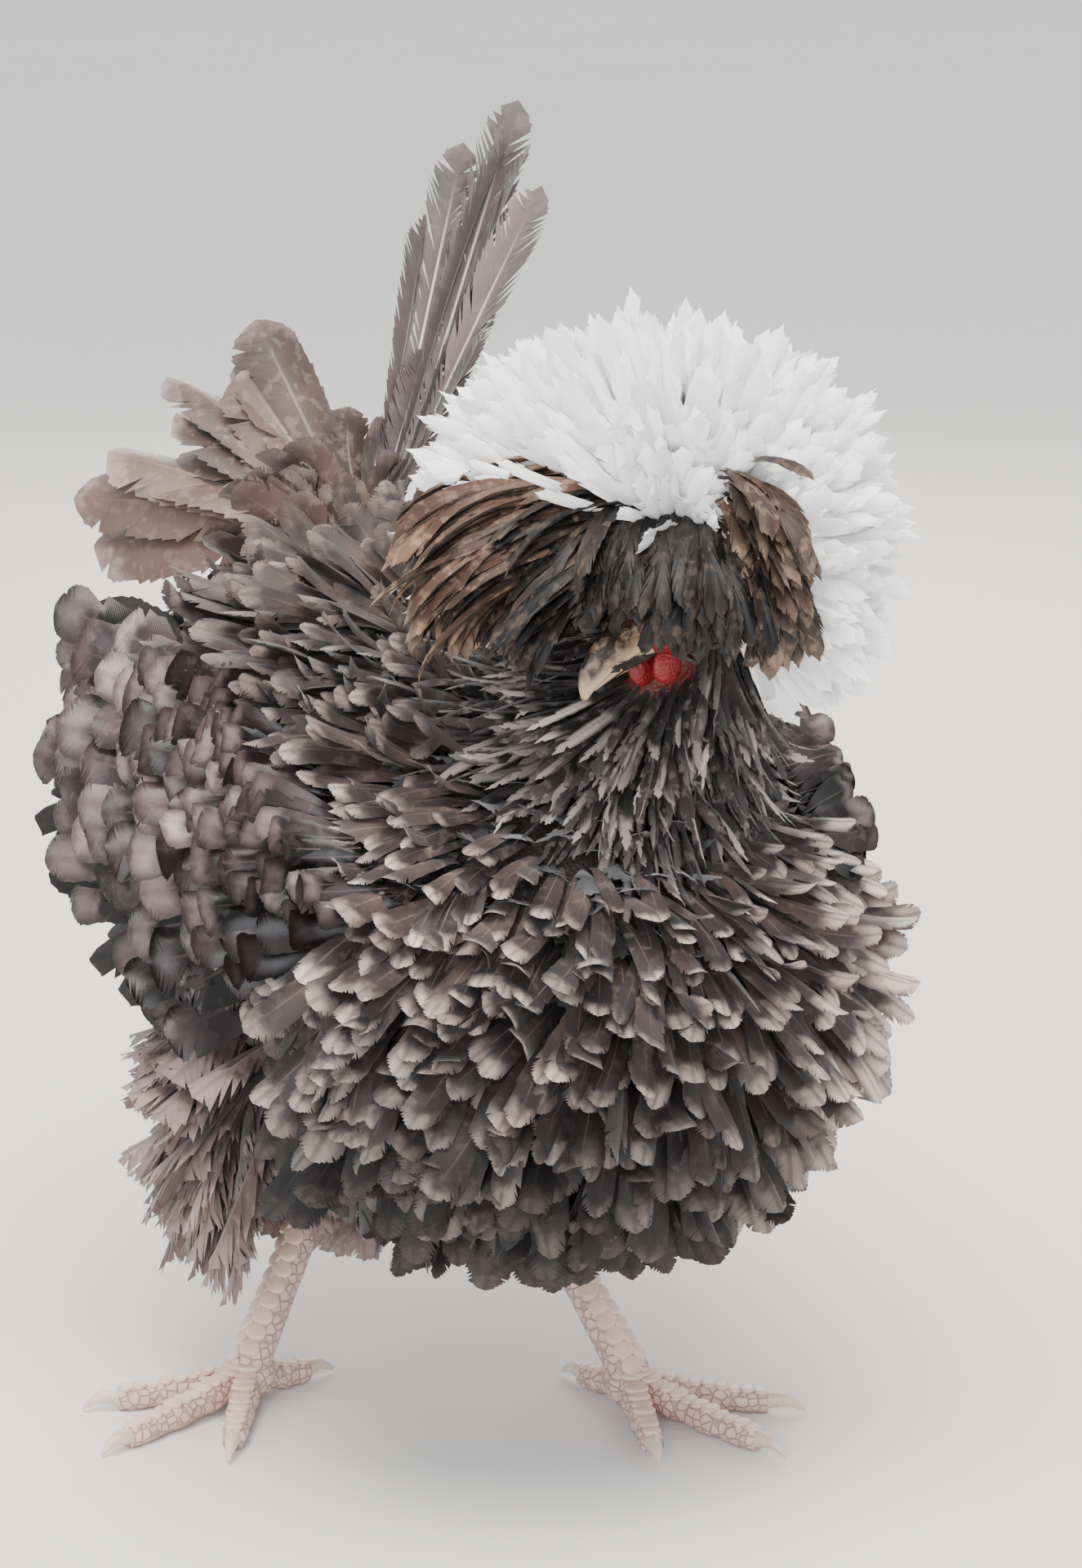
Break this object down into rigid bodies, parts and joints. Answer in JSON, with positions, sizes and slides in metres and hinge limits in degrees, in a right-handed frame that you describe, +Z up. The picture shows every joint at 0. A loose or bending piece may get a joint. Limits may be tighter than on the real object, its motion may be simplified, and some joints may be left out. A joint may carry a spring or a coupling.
{
  "type": "crested hen",
  "caption": "Life-size still model of a crested frizzle hen, coat shaken out, head turned down to her right, standing on two scaled feet.",
  "frame": {"origin": "on the floor that the feet stand on, under the middle of the whole bird's box", "axes": "+Z up, -Y the way that the body faces, +X the hen's own left side"},
  "size_m": [0.2482, 0.329, 0.3802],
  "materials": {
    "beak_horn": "horn coloured, darker over the ridge",
    "body_plumage": "soft frizzled feathers, slate brown with pale buff tips and bars",
    "claw_horn": "pale horn",
    "crest_front_plumage": "black brown crest feathers with buff flecks",
    "crest_plumage": "white, slightly cream crest feathers",
    "earlobe_skin": "soft white skin",
    "eye": "wet, orange brown iris with a black pupil",
    "leg_skin": "pink scaled skin with dark lines between the scutes",
    "red_skin": "bare red facial skin, finely pebbled",
    "tail_plumage": "mauve brown vanes with pale shafts"
  },
  "bodies": {
    "root": {"beak_lower": "beak_horn", "beak_upper": "beak_horn", "claw_left_1": "claw_horn", "claw_left_2": "claw_horn", "claw_left_3": "claw_horn", "claw_left_4": "claw_horn", "claw_right_1": "claw_horn", "claw_right_2": "claw_horn", "claw_right_3": "claw_horn", "claw_right_4": "claw_horn", "comb": "red_skin", "crest_crown": "crest_plumage", "crest_front": "crest_front_plumage", "earlobe_left": "earlobe_skin", "earlobe_right": "earlobe_skin", "eye_left": "eye", "eye_right": "eye", "foot_left": "leg_skin", "foot_right": "leg_skin", "head": "red_skin", "neck": "body_plumage", "shank_left": "leg_skin", "shank_right": "leg_skin", "tail": "tail_plumage", "thigh_left": "body_plumage", "thigh_right": "body_plumage", "torso": "body_plumage", "wattle_left": "red_skin", "wattle_right": "red_skin", "wing_left": "body_plumage", "wing_right": "body_plumage"}
  },
  "joints": []
}
